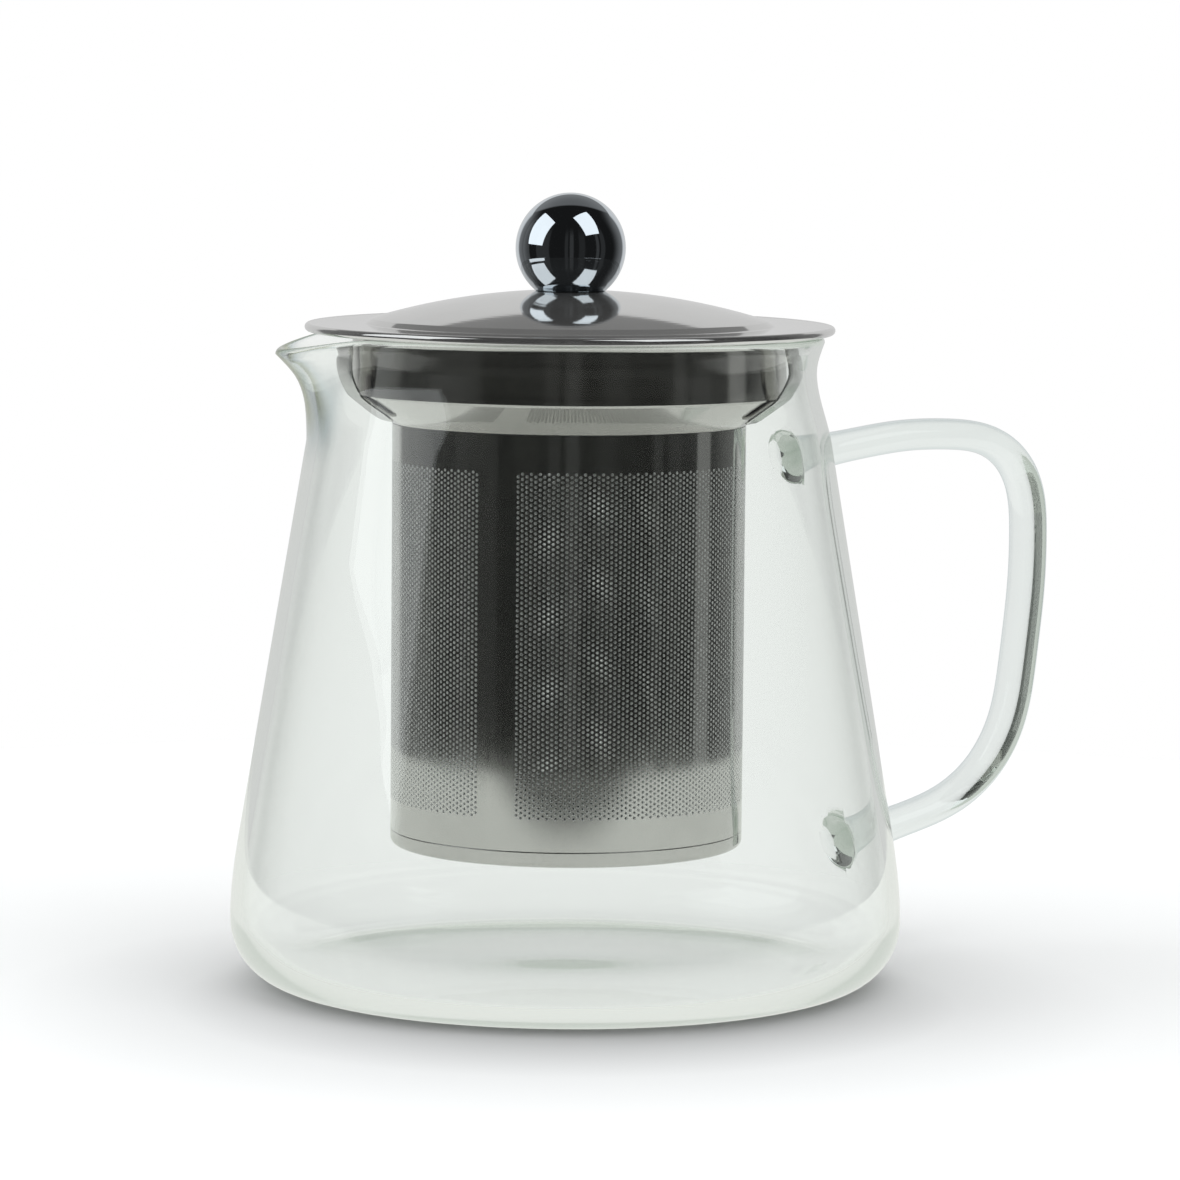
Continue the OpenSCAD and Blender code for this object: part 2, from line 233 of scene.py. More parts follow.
class Graph:
    """The node tree of a material or the world, with short ways to add and join nodes. Any value
    may be a number, a colour or another node's output."""

    def __init__(self, owner):
        owner.use_nodes = True
        self.nodes, self.links = owner.node_tree.nodes, owner.node_tree.links
        self.nodes.clear()

    def add(self, kind, inputs=(), **settings):
        n = self.nodes.new("ShaderNode" + kind)
        for key, value in settings.items():
            setattr(n, key, value)
        for socket, value in dict(inputs).items():
            self.feed(n, socket, value)
        return n

    def feed(self, n, socket, value):
        if isinstance(value, bpy.types.NodeSocket):
            self.links.new(value, n.inputs[socket])
        else:
            n.inputs[socket].default_value = value

    def math(self, operation, *values):
        return self.add("Math", enumerate(values), operation=operation).outputs[0]

    def plus(self, a, b):
        return self.math("ADD", a, b)

    def minus(self, a, b):
        return self.math("SUBTRACT", a, b)

    def times(self, a, b):
        return self.math("MULTIPLY", a, b)

    def most(self, a, b):
        return self.math("MAXIMUM", a, b)

    def size(self, a):
        return self.math("ABSOLUTE", a)

    def over(self, a, limit):
        return self.math("GREATER_THAN", a, limit)

    def under(self, a, limit):
        return self.math("LESS_THAN", a, limit)

    def fade(self, value, lo, hi, to_lo, to_hi, kind="SMOOTHSTEP"):
        return self.add("MapRange", {"Value": value, "From Min": lo, "From Max": hi,
                                     "To Min": to_lo, "To Max": to_hi},
                        interpolation_type=kind).outputs["Result"]

    def polar(self):
        """The shaded point, and its radius, angle and height about the pot's axis, in metres."""
        point = self.add("TexCoord").outputs["Object"]
        x, y, z = self.add("SeparateXYZ", {0: point}).outputs
        r = self.math("SQRT", self.plus(self.times(x, x), self.times(y, y)))
        return point, r, self.math("ARCTAN2", y, x), z

    def noise(self, vector, scale, detail, rough=0.5):
        return self.add("TexNoise", {"Vector": vector, "Scale": scale, "Detail": detail,
                                     "Roughness": rough}).outputs["Fac"]

    def ramp(self, value, stops):
        n = self.add("ValToRGB", {0: value})
        marks = n.color_ramp.elements
        while len(marks) < len(stops):
            marks.new(0.5)
        for mark, (position, colour) in zip(marks, stops):
            mark.position = position
            mark.color = (*colour, 1)
        return n.outputs["Color"]

    def bump(self, height, bsdf, strength, distance):
        n = self.add("Bump", {"Height": height, "Strength": strength, "Distance": distance})
        self.feed(bsdf, "Normal", n.outputs[0])

    def glow(self, colour, strength=1.0):
        return self.add("Emission", {"Color": (*colour, 1), "Strength": strength}).outputs[0]

    def mix_shader(self, share, a, b):
        return self.add("MixShader", {0: share, 1: a, 2: b}).outputs[0]

    def mix_colour(self, share, a, b):
        return self.add("Mix", {0: share, 6: a, 7: b}, data_type="RGBA").outputs[2]


def material(name):
    mat = bpy.data.materials.new(name)
    g = Graph(mat)
    bsdf = g.add("BsdfPrincipled")
    out = g.add("OutputMaterial", {"Surface": bsdf.outputs[0]})
    return mat, g, bsdf, out


def glass_material():
    mat, g, bsdf, out = material("clear_glass")
    point, r, a, z = g.polar()
    # Seen edge-on, the heavy strap of the handle looks grey and the drawn-out spout olive.
    reach = g.times(r, g.math("COSINE", g.minus(a, HANDLE_ANGLE)))
    wall = g.fade(z, CONE_Z0 * MM, CONE_Z1 * MM, CONE_R0 * MM, CONE_R1 * MM, "LINEAR")
    strap = g.fade(g.minus(reach, wall), 0.0008, 0.0030, 0.0, 1.0)
    side = g.size(g.minus(g.size(a), math.pi))
    spout = g.times(g.fade(side, 0.30, 0.60, 1.0, 0.0), g.fade(z, 0.086, 0.097, 0.0, 1.0))
    edge_on = g.fade(g.add("LayerWeight").outputs["Facing"], 0.45, 0.85, 0.0, 1.0)
    grey = g.times(strap, g.plus(g.times(edge_on, 0.42), 0.08))
    olive = g.times(spout, edge_on)
    g.feed(bsdf, "Base Color", g.ramp(g.most(grey, olive), [
        (0.0, (0.962, 0.976, 0.966)), (0.5, (0.50, 0.58, 0.60)), (1.0, (0.17, 0.20, 0.09))]))
    g.feed(bsdf, "Transmission Weight", 1.0)
    g.feed(bsdf, "Roughness", 0.0)
    g.feed(bsdf, "IOR", 1.47)
    body = g.add("VolumeAbsorption", {"Color": (0.48, 0.60, 0.50, 1), "Density": 22.0})
    g.feed(out, "Volume", body.outputs[0])
    # Painted light: after a few mirror bounces, and sooner in the handle strap, the glass glows an
    # even pale grey instead of tracing the light any further.
    painted_glow_depth = g.plus(g.add("LightPath").outputs["Glossy Depth"], strap)
    g.feed(out, "Surface", g.mix_shader(g.over(painted_glow_depth, 2.5), bsdf.outputs[0],
                                        g.glow((0.66, 0.69, 0.65))))
    # Blown glass is never quite even, so its surface waves a little over a few centimetres.
    g.bump(g.noise(point, 28.0, 1.0), bsdf, 0.25, 0.0006)
    return mat


# How each kind of grain runs: the two of radius, angle and height that it follows and how fine it
# is along each, the detail and roughness of its noise, and the bump's strength and depth. Turned
# grain is the fine rings of spinning and brushing, which fade in and out round the part.
GRAINS = {"turned": (("r", 5200.0), ("a", 0.9), (2.0, 0.7), (0.05, 0.00002)),
          "rolled": (("a", 60.0), ("z", 9.0), (3.0, 0.6), (0.12, 0.00002)),
          "strip": (("a", 3000.0), ("z", 900.0), (2.0, 0.6), (0.08, 0.00003))}
WELD_AT = math.radians(-26.6)


def steel(name, colour, rough, rough_spread, grain=None, smudge=45.0, metallic=1.0):
    """Polished or brushed steel, with faint smudges and one of the grains."""
    mat, g, bsdf, _ = material(name)
    g.feed(bsdf, "Metallic", metallic)
    point, r, a, z = g.polar()
    soft = g.noise(point, smudge, 4.0, 0.6)
    g.feed(bsdf, "Base Color", g.ramp(soft, [(0.25, tuple(c * 0.93 for c in colour)),
                                             (0.75, tuple(min(1, c * 1.04) for c in colour))]))
    spread = soft
    if grain:
        (u, fine_u), (v, fine_v), texture, depth = GRAINS[grain]
        along = {"r": r, "a": a, "z": z}
        at = g.add("CombineXYZ", {0: g.times(along[u], fine_u), 1: g.times(along[v], fine_v)})
        lines = g.noise(at.outputs[0], 1.0, *texture)
        if grain == "rolled":
            # The sheet's ends meet in a fine upright weld.
            weld = g.fade(g.size(g.minus(a, WELD_AT)), 0.0022, 0.0048, 1.0, 0.0)
            lines = g.minus(lines, g.times(weld, 1.5))
        spread = g.plus(g.times(soft, 0.5), g.times(lines, 0.5))
        g.bump(lines, bsdf, *depth)
    g.feed(bsdf, "Roughness", g.fade(spread, 0.3, 0.7, rough - rough_spread,
                                     rough + rough_spread, "LINEAR"))
    return mat


GLASS = glass_material()
TUBE_STEEL = steel("rolled_sheet", (0.60, 0.595, 0.58), 0.07, 0.03, "rolled")
INSIDE_STEEL = steel("dull_inside", (0.74, 0.75, 0.74), 0.42, 0.06, "rolled", metallic=0.1)
COLLAR_STEEL = steel("pressed_collar", (0.60, 0.59, 0.575), 0.10, 0.04, "turned")
LID_STEEL = steel("spun_lid", (0.70, 0.70, 0.69), 0.07, 0.025, "turned", metallic=0.94)
CLIP_STEEL = steel("spring_strip", (0.66, 0.66, 0.65), 0.10, 0.04, "strip")
CHROME = steel("chrome_knob", (0.74, 0.80, 0.85), 0.025, 0.012, smudge=60.0)
FIXING = steel("plain_fixings", (0.58, 0.58, 0.57), 0.26, 0.06, "turned")


# ---------------------------------------------------------------- glass pot

def hermite(a, b, slope_a, slope_b, span, t):
    return ((2 * t**3 - 3 * t**2 + 1) * a + (t**3 - 2 * t**2 + t) * slope_a * span
            + (3 * t**2 - 2 * t**3) * b + (t**3 - t**2) * slope_b * span)


def cone_r(z):
    return CONE_R0 + SLOPE * (z - CONE_Z0)


def neck_r(z):
    if z < WAIST_Z:
        return hermite(CONE_R1, WAIST_R, SLOPE, 0, WAIST_Z - CONE_Z1,
                       (z - CONE_Z1) / (WAIST_Z - CONE_Z1))
    return hermite(WAIST_R, RIM_R, 0, 0.3, RIM_Z - WAIST_Z, (z - WAIST_Z) / (RIM_Z - WAIST_Z))


def spout_share(a):
    d = abs((math.degrees(a) % 360) - 180)
    return 0.0 if d >= SPOUT_HALF else math.cos(math.pi / 2 * d / SPOUT_HALF) ** 2


def glass_pot():
    """The blown pot as one closed skin, from the middle of its underside round to its floor."""
    segs = 224
    half = WALL / 2
    lip = (RIM_Z - half - CONE_Z1) / (RIM_Z - CONE_Z1)
    rows = []

    def plain(r, z):
        rows.append([(r, z)] * segs)

    def cone(t, inset=0):
        plain(CONE_R0 + (CONE_R1 - CONE_R0) * t - inset, CONE_Z0 + (CONE_Z1 - CONE_Z0) * t)

    def neck(u, inset, lift):
        ring = []
        for j in range(segs):
            s = spout_share(TAU * j / segs)
            r = neck_r(CONE_Z1 + u * (RIM_Z - CONE_Z1)) + SPOUT_REACH * s * u**1.25 - inset
            ring.append((r, CONE_Z1 + u * (RIM_Z - CONE_Z1 - SPOUT_DROP * s) + lift))
        rows.append(ring)

    # Underside with a shallow punt, then the corner, the belly and the outside of the cone.
    for r, z in ((0, 0.55), (12, 0.53), (24, 0.44), (34, 0.26), (41, 0.08), (44, 0.0)):
        plain(r, z)
    for i in range(15):
        q = math.pi / 2 * i / 14
        plain(BASE_R + (BELLY_R - BASE_R) * math.sin(q), BELLY_Z * (1 - math.cos(q)))
    for i in range(1, 9):
        t = i / 8
        plain(hermite(BELLY_R, CONE_R0, 0, SLOPE, CONE_Z0 - BELLY_Z, t),
              BELLY_Z + (CONE_Z0 - BELLY_Z) * t)
    for i in range(1, 24):
        cone(i / 24)
    # The neck, over the rounded rim and down inside it.
    for i in range(17):
        neck(lip * i / 16, 0, 0)
    for i in range(1, 10):
        q = math.pi * i / 10
        neck(lip, half * (1 - math.cos(q)), half * math.sin(q))
    for i in range(17):
        neck(lip * (1 - i / 16), WALL, 0)
    # The inside of the cone, the belly and the floor, which is a little thicker in the middle.
    for i in range(1, 24):
        cone(1 - i / 24, WALL)
    inner_belly, inner_base = BELLY_R - WALL, BASE_R - 0.5
    for i in range(9):
        t = i / 8
        plain(hermite(CONE_R0 - WALL, inner_belly, -SLOPE, 0, CONE_Z0 - BELLY_Z - 1, t),
              CONE_Z0 - (CONE_Z0 - BELLY_Z - 1) * t)
    for i in range(1, 15):
        q = math.pi / 2 * i / 14
        plain(inner_base + (inner_belly - inner_base) * math.cos(q),
              FLOOR_Z + (BELLY_Z + 1 - FLOOR_Z) * (1 - math.sin(q)))
    for r, z in ((38, 2.74), (28, 2.85), (18, 3.05), (10, 3.3), (5, 3.45), (0, 3.5)):
        plain(r, z)
    return skin(rows)


def handle_path():
    """Centre line of the strap in its own plane."""
    corners = [(cone_r(HANDLE_UPPER) - HANDLE_INSET, HANDLE_UPPER),
               (HANDLE_REACH - 25.6, HANDLE_UPPER + 3.4), (HANDLE_REACH, HANDLE_UPPER + 2.5),
               (HANDLE_REACH, 64.0), (HANDLE_REACH - 4.5, HANDLE_LOWER + 8.1),
               (cone_r(HANDLE_LOWER) - HANDLE_INSET, HANDLE_LOWER - 0.1)]
    pts = np.array(fillet(corners, [0, 40, 17, 60, 23.5, 0], 24))
    # Even spacing, then a light smoothing so that the curvature changes gently.
    d = np.concatenate([[0], np.cumsum(np.linalg.norm(np.diff(pts, axis=0), axis=1))])
    s = np.linspace(0, d[-1], 150)
    line = np.stack([np.interp(s, d, pts[:, i]) for i in range(2)], axis=1)
    for _ in range(40):
        line[4:-4] = line[4:-4] * 0.5 + (line[3:-5] + line[5:-3]) * 0.25
    return line


def handle_strap():
    """The flat oval strap, which flares where it meets the wall."""
    line = handle_path()
    sides = 48
    n = len(line)
    verts, faces = [], []
    for i, p in enumerate(line):
        t = line[min(i + 1, n - 1)] - line[max(i - 1, 0)]
        t = t / np.linalg.norm(t)
        normal = np.array([-t[1], t[0]])
        gap = max(0.0, p[0] - cone_r(p[1]))
        flare = 3.4 * math.exp(-((gap / 1.5) ** 1.2)) + 0.9 * math.exp(-((gap / 6.0) ** 2))
        wide, thick = STRAP_WIDE + flare, STRAP_THICK + flare * 0.95
        for j in range(sides):
            q = TAU * j / sides
            c, s = math.cos(q), math.sin(q)
            a = thick / 2 * math.copysign(abs(c) ** 0.92, c)
            b = wide / 2 * math.copysign(abs(s) ** 0.92, s)
            rho, z = p[0] + a * normal[0], p[1] + a * normal[1]
            verts.append((rho * math.cos(HANDLE_ANGLE) - b * math.sin(HANDLE_ANGLE),
                          rho * math.sin(HANDLE_ANGLE) + b * math.cos(HANDLE_ANGLE), z))
    for i in range(n - 1):
        for j in range(sides):
            k = (j + 1) % sides
            faces.append((i * sides + j, i * sides + k, (i + 1) * sides + k, (i + 1) * sides + j))
    faces.append(tuple(range(sides))[::-1])
    faces.append(tuple((n - 1) * sides + j for j in range(sides)))
    return verts, faces


def build_glass():
    """Pot and handle fused into one closed skin of glass."""
    pot = make_object("pot_glass", *glass_pot(), "pot", "glass",
                      ("glass_body", "glass_handle"), GLASS)
    fix_normals(pot.data)
    tool = new_object("handle_tool", new_mesh("handle_tool", *handle_strap()))
    fix_normals(tool.data)
    join = pot.modifiers.new("fuse", "BOOLEAN")
    join.operation, join.solver, join.object = "UNION", "EXACT", tool
    dg = bpy.context.evaluated_depsgraph_get()
    fused = bpy.data.meshes.new_from_object(pot.evaluated_get(dg), depsgraph=dg)
    pot.modifiers.clear()
    separate, pot.data = pot.data, fused
    bpy.data.meshes.remove(separate)
    bpy.data.objects.remove(tool)
    fused.name = "pot_glass"
    shade_smooth(fused)
    with editing(fused) as bm:
        bmesh.ops.remove_doubles(bm, verts=bm.verts, dist=2e-6)


build_glass()


# ---------------------------------------------------------------- perforated sheets

def lattice(cells, holes):
    """A sheet of hexagonal cells, which are (column, half row) centres; holes are the pierced ones.
    Returns flat points in millimetres, the faces of one side, and the points that lie elsewhere on
    the other side, because each punched hole narrows a little from the outside to the inside."""
    ids, pts, faces, narrow = {}, [], [], {}

    def corner(key):
        if key not in ids:
            ids[key] = len(pts)
            pts.append((key[0] * STEP_X, key[1] * STEP_Z))
        return ids[key]

    for col, row in sorted(cells):
        x, z = 3 * col * STEP_X, row * STEP_Z
        ring = [corner((3 * col + dx, row + dz)) for dx, dz in
                ((2, 0), (1, 1), (-1, 1), (-2, 0), (-1, -1), (1, -1))]
        if (col, row) not in holes:
            faces.append(tuple(ring))
            continue
        first = len(pts)
        for k in range(6):
            c, s = math.cos(TAU * k / 6), math.sin(TAU * k / 6)
            narrow[len(pts)] = (x + HOLE_IN * c, z + HOLE_IN * s)
            pts.append((x + HOLE_OUT * c, z + HOLE_OUT * s))
        for k in range(6):
            m = (k + 1) % 6
            faces.append((ring[k], ring[m], first + m, first + k))
    return pts, faces, narrow


def lattice_place(point):
    """Where a cell's corner is in the lattice, or None for a point on the edge of a hole."""
    u, v = point[0] / STEP_X, point[1] / STEP_Z
    place = (round(u), round(v))
    return place if abs(u - place[0]) < 1e-6 and abs(v - place[1]) < 1e-6 else None


def border(faces):
    """The directed edges that only one face has."""
    edges = {(a, b): True for f in faces for a, b in zip(f, f[1:] + f[:1])}
    return [(a, b) for a, b in edges if (b, a) not in edges]


def sheet_solid(pts, faces, narrow, outer, inner):
    """Gives a flat sheet its thickness: outer and inner map a flat point to 3-D."""
    n = len(pts)
    verts = [outer(*p) for p in pts] + [inner(*narrow.get(i, p)) for i, p in enumerate(pts)]
    solid = faces + [tuple(i + n for i in reversed(f)) for f in faces]
    return verts, solid + [(b, a, a + n, b + n) for a, b in border(faces)]


def set_normals(mesh, count=0):
    """Every face shades flat, except that a tube's first count faces, outside, and next count
    faces, inside, shade as round."""
    def values(items, key, width=1, kind=float):
        data = np.empty(len(items) * width, dtype=kind)
        items.foreach_get(key, data)
        return data.reshape(-1, width) if width > 1 else data

    corners = values(mesh.loops, "vertex_index", kind=np.int32)
    totals = values(mesh.polygons, "loop_total", kind=np.int32)
    owner = np.repeat(np.arange(len(totals)), totals)
    normals = values(mesh.polygons, "normal", 3)[owner]
    if count:
        out = values(mesh.vertices, "co", 3)[corners] * (1, 1, 0)
        out /= np.linalg.norm(out, axis=1, keepdims=True)
        outside, inside = owner < count, (owner >= count) & (owner < 2 * count)
        normals = np.where(outside[:, None], out, np.where(inside[:, None], -out, normals))
    mesh.normals_split_custom_set([tuple(v) for v in normals])


def matte_inside(mesh, count):
    """The inner skin and the cut walls take the dull finish that rolling and punching leave."""
    mesh.materials.append(INSIDE_STEEL)
    mesh.polygons.foreach_set("material_index", [0] * count + [1] * (len(mesh.polygons) - count))


def add_margin(pts, faces, ids, cols, top):
    """A plain margin above or below the field: straight rows joined to the field's stepped edge."""
    level, out = (2 * LAST_ROW, 1) if top else (0, -1)
    line = [ids[(3 * cols[0] - 2, level)]]
    for c in cols:
        if c % 2 == 0:
            line += [ids[(3 * c - 1, level + out)], ids[(3 * c + 1, level + out)],
                     ids[(3 * c + 2, level)]]
        else:
            line.append(ids[(3 * c + 1, level)])
    field_end = (level + out) * STEP_Z
    end = (TUBE_TOP if top else SEAM_Z) - FIRST_ROW_Z
    below = line
    for t in (0.06, 0.3, 0.65, 0.93, 1.0):
        row = list(range(len(pts), len(pts) + len(line)))
        pts += [(pts[v][0], field_end + (end - field_end) * t) for v in line]
        for i in range(len(line) - 1):
            quad = (below[i], below[i + 1], row[i + 1], row[i])
            faces.append(quad if top else quad[::-1])
        below = row


def perforated_tube():
    """The rolled tube, in four sheets edge to edge, with a plain strip down its front left."""
    step = TAU / COLUMNS
    strip = round(STRIP_AT / step) % COLUMNS
    plain = {(strip + k) % COLUMNS for k in range(-(STRIP_COLUMNS // 2), STRIP_COLUMNS // 2 + 1)}

    def rolled(radius):
        def at(x, z):
            a = x * step / (3 * STEP_X)
            return (radius * math.cos(a), radius * math.sin(a), FIRST_ROW_Z + z)
        return at

    quarter = COLUMNS // 4
    for part in range(4):
        cols = range(part * quarter, (part + 1) * quarter)
        cells = {(c, 2 * k + (c % 2)) for c in cols for k in range(LAST_ROW + 1 - (c % 2))}
        pts, faces, narrow = lattice(cells, {(c, r) for c, r in cells if c not in plain})
        ids = {lattice_place(p): i for i, p in enumerate(pts) if lattice_place(p)}
        for top in (True, False):
            add_margin(pts, faces, ids, cols, top)
        ob = make_object(f"tube_sheet_{part + 1}",
                         *sheet_solid(pts, faces, narrow, rolled(TUBE_OUT), rolled(TUBE_IN)),
                         "infuser", "infuser_steel", ("infuser_tube",), TUBE_STEEL)
        set_normals(ob.data, len(faces))
        matte_inside(ob.data, len(faces))


perforated_tube()


def perforated_base():
    """Bottom cup: a pierced disc in the middle, with a plain ring, and a rolled rim and corner."""
    cells = {(c, r) for c in range(-40, 41) for r in range(-70, 71)
             if (r - c) % 2 == 0 and math.hypot(3 * c * STEP_X, r * STEP_Z) < FLOOR_FIELD}
    pts, faces, narrow = lattice(cells, cells)
    # The field's stepped outline, in order, carries the plain ring.
    following = {a: b for a, b in border(faces)
                 if all(math.hypot(*pts[v]) > FLOOR_FIELD - 1.4 and lattice_place(pts[v])
                        for v in (a, b))}
    start = next(iter(following))
    below, at = [start], following[start]
    while at != start:
        below.append(at)
        at = following[at]
    count = len(below)
    angles = [math.atan2(pts[v][1], pts[v][0]) for v in below]
    for radius in (FLOOR_FIELD + 0.6, 26.0, 27.4):
        row = list(range(len(pts), len(pts) + count))
        pts += [(radius * math.cos(q), radius * math.sin(q)) for q in angles]
        for i in range(count):
            k = (i + 1) % count
            faces.append((row[k], row[i], below[i], below[k]))
        below = row
    ob = make_object("basket_floor", *sheet_solid(pts, faces, narrow,
                                                  lambda x, y: (x, y, CUP_Z + CUP_SHEET),
                                                  lambda x, y: (x, y, CUP_Z)),
                     "infuser", "infuser_steel", ("infuser_base",), TUBE_STEEL)
    set_normals(ob.data)
    rim = fillet([(27.38, CUP_Z), (29.6, CUP_Z), (29.6, 25.8), (29.17, 25.8), (29.17, 28.2),
                  (28.77, 28.2), (28.77, CUP_Z + CUP_SHEET), (27.38, CUP_Z + CUP_SHEET)],
                 [0, 1.9, 0.12, 0, 0.1, 0.1, 1.5, 0], 8)
    turned("basket_rim", rim, 256, "infuser", "infuser_steel", ("infuser_base",), TUBE_STEEL)


perforated_base()


# ---------------------------------------------------------------- collar and clips

collar = fillet([
    (28.57, 90.9), (29.17, 90.9), (29.17, 93.95), (29.6, 93.95), (36.3, 99.0),
    (36.3, 109.15), (42.6, 109.15), (42.6, 109.75), (35.7, 109.75), (35.7, 99.25),
    (28.57, 94.2)], [0.15, 0.1, 0, 0.1, 0.7, 0.7, 0.28, 0.28, 1.2, 0.4, 0.3], closed=True)
turned("collar", collar, 256, "infuser", "infuser_steel", ("infuser_collar",), COLLAR_STEEL)


def clip_line():
    """A smooth curve through the strip's bends, with its foot kept straight."""
    path = np.array(CLIP_PATH)
    last = len(path) - 1
    pts = [path[0] + (path[1] - path[0]) * k / 10 for k in range(10)]
    for i in range(1, last):
        p0, p1, p2, p3 = path[i - 1], path[i], path[i + 1], path[min(i + 2, last)]
        for t in (0, 0.2, 0.4, 0.6, 0.8):
            pts.append(0.5 * (2 * p1 + (p2 - p0) * t + (2 * p0 - 5 * p1 + 4 * p2 - p3) * t**2
                              + (3 * p1 - p0 - 3 * p2 + p3) * t**3))
    return np.array(pts + [path[-1]])


def rounded(half, radius, left):
    """Half the width of a strip with rounded corners, this far from its end."""
    if left >= radius:
        return half
    return half - radius + math.sqrt(max(0.0, radius**2 - (radius - left) ** 2))


def clip(name, degrees):
    """A bent spring strip with a rounded free end."""
    pts = clip_line()
    n, across = len(pts), 13
    along = np.concatenate([[0], np.cumsum(np.linalg.norm(np.diff(pts, axis=0), axis=1))])
    turn = math.radians(degrees)
    c, s = math.cos(turn), math.sin(turn)
    verts, faces = [], []
    for side in (1, -1):
        for i in range(n):
            t = pts[min(i + 1, n - 1)] - pts[max(i - 1, 0)]
            t = t / np.linalg.norm(t)
            normal = np.array([t[1], -t[0]])
            w = min(rounded(CLIP_HALF_WIDE, CLIP_TIP, along[-1] - along[i]),
                    rounded(CLIP_HALF_WIDE, CLIP_FOOT, along[i]))
            for j in range(across):
                share = -1 + 2 * j / (across - 1)
                edge = CLIP_HALF_THICK * (1 - 0.25 * abs(share) ** 12)
                x, z = pts[i] + normal * side * edge
                y = share * w
                verts.append((x * c - y * s, x * s + y * c, z))
    m = n * across
    for i in range(n - 1):
        for j in range(across - 1):
            a = i * across + j
            faces.append((a, a + across, a + across + 1, a + 1))
            b = m + a
            faces.append((b, b + 1, b + across + 1, b + across))
    for i in range(n - 1):
        a, b = i * across, (i + 1) * across
        faces.append((a, a + m, b + m, b))
        a, b = a + across - 1, b + across - 1
        faces.append((a, b, b + m, a + m))
    for j in range(across - 1):
        faces.append((j, j + 1, j + 1 + m, j + m))
        a = (n - 1) * across + j
        faces.append((a, a + m, a + m + 1, a + 1))
    ob = make_object(name + "_strip", verts, faces, name, "clip_steel", (name,), CLIP_STEEL)
    fix_normals(ob.data)
    mark_sharp(ob.data, 50)


clip("clip_left", 192)
clip("clip_right", 332)
clip("clip_back", 82)


# ---------------------------------------------------------------- lid

def dome_at(r):
    return DOME_TOP - DOME_R + math.sqrt(DOME_R**2 - r * r)


def lid_profile():
    """Dome, gentle foot, flange with a rolled edge, then back along the underside."""
    radii = [SCREW_HOLE + (32.3 - SCREW_HOLE) * i / 28 for i in range(29)]
    top = [(r, dome_at(r)) for r in radii]
    shoulder = fillet([top[-1], (33.0, dome_at(33.0)), (34.3, FLANGE_TOP), (36.4, FLANGE_TOP)],
                      [0, 1.0, 0.9, 0], 7)[1:]
    bead = []
    for i in range(25):
        q = math.radians(115 - 315 * i / 24)
        bead.append((LID_R - BEAD + BEAD * math.cos(q),
                     FLANGE_TOP - BEAD + 0.1 + BEAD * math.sin(q)))
    low = [(36.4, FLANGE_TOP - LID_SHEET), (33.7, FLANGE_TOP - 0.62), (33.45, FLANGE_TOP - 0.3),
           (33.3, dome_at(33.0) - 0.8)]
    under = [(r, z - LID_SHEET) for r, z in reversed(top)]
    return top + shoulder + bead + low + under


turned("lid_dome", lid_profile(), 288, "lid", "lid_steel", ("lid_shell",), LID_STEEL, 50)
skirt = fillet([(34.8, 103.0), (35.3, 103.0), (35.3, 109.82), (34.6, 109.78), (33.7, 109.88),
                (33.7, 109.43), (34.5, 109.28), (34.8, 108.98)],
               [0.2, 0.2, 0.15, 0, 0.1, 0.1, 0.3, 0.3], closed=True)
turned("lid_skirt_ring", skirt, 256, "lid", "lid_steel", ("lid_skirt",), LID_STEEL)


# ---------------------------------------------------------------- knob

def arc(radius, start, end, steps):
    """Points on the ball's section, from one angle above the level to another."""
    angles = [start + (end - start) * i / steps for i in range(steps + 1)]
    return [(radius * math.cos(q), BALL_Z + radius * math.sin(q)) for q in angles]


def ball_profile():
    """A hollow ball with a small rolled foot, which stands just clear of the dome."""
    seat = dome_at(math.sqrt(BALL_R**2 - (BALL_Z - DOME_TOP) ** 2)) + 0.04
    inner = BALL_R - BALL_WALL
    outside = arc(BALL_R, math.pi / 2, math.asin((seat + 0.25 - BALL_Z) / BALL_R), 72)
    inside = arc(inner, math.asin((seat + 0.1 - BALL_Z) / inner), math.pi / 2, 36)
    outside[0] = (0.0, BALL_Z + BALL_R)
    inside[-1] = (0.0, BALL_Z + inner)
    r = outside[-1][0]
    return outside + [(r - 0.14, seat + 0.06), (r - 0.34, seat), (r - 1.0, seat)] + inside


ball = make_object("knob", *revolve(ball_profile(), 160, closed=False), "lid", "knob_chrome",
                   ("knob_ball",), CHROME)
fix_normals(ball.data)
mark_sharp(ball.data, 60)

for name in ("knob_insert", "knob_screw", "knob_washer"):
    ob = frame["nodes"][name]
    ob.data.materials.clear()
    ob.data.materials.append(FIXING)
    edge = ob.modifiers.new("edge", "BEVEL")
    edge.width, edge.segments, edge.limit_method = 0.00012, 2, "ANGLE"
    edge.angle_limit = math.radians(35)


# ---------------------------------------------------------------- stage

